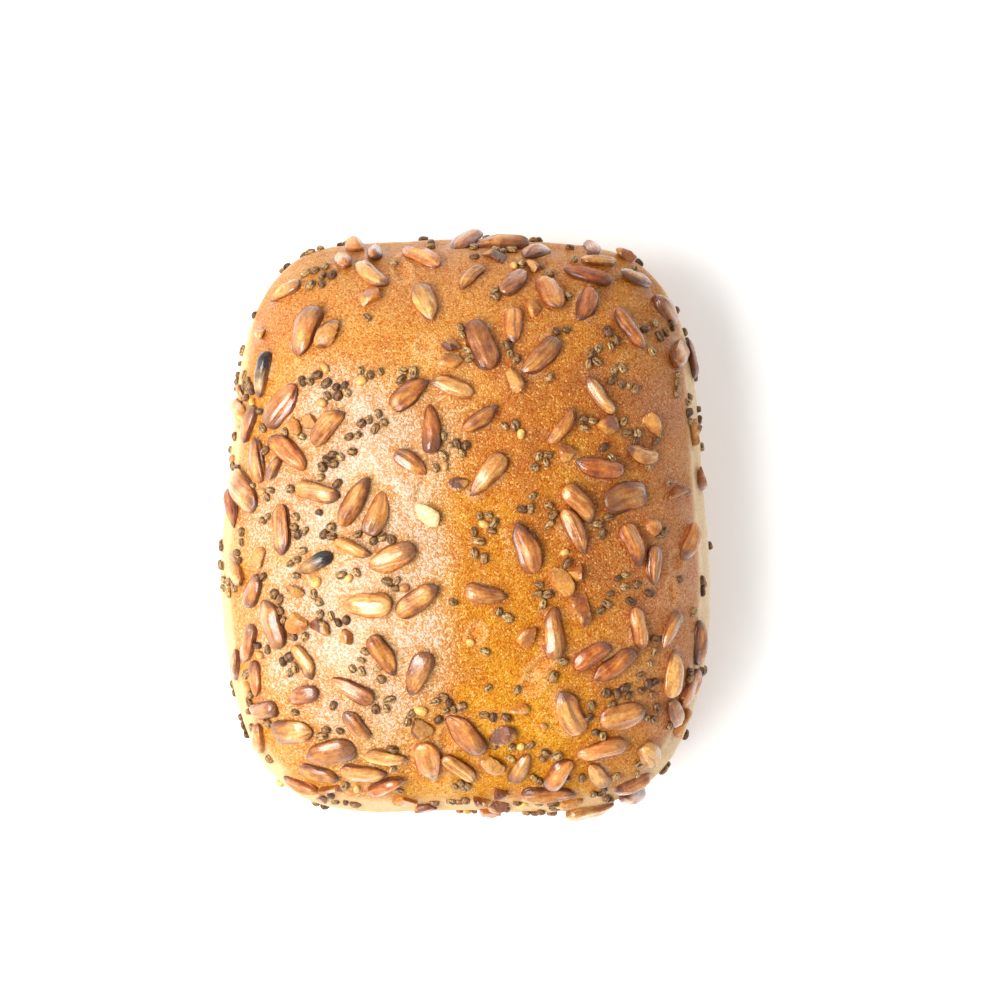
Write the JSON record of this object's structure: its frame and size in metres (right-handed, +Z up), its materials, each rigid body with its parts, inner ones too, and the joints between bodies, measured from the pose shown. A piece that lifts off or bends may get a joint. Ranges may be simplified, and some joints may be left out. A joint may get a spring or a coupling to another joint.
{
  "type": "seeded bread roll",
  "caption": "Square-cut bread roll with a domed, glazed crust strewn with sunflower kernels and small dark seeds, resting on a flat foot.",
  "frame": {"origin": "middle of the flat foot, under the middle of the roll", "axes": "+Z up out of the crown, +Y along the length towards the narrower end, +X to the right of that"},
  "size_m": [0.0936, 0.1119, 0.0495],
  "materials": {
    "crust": "golden brown glazed bread crust with toasted seeds"
  },
  "bodies": {
    "root": {"roll": "crust"}
  },
  "joints": []
}
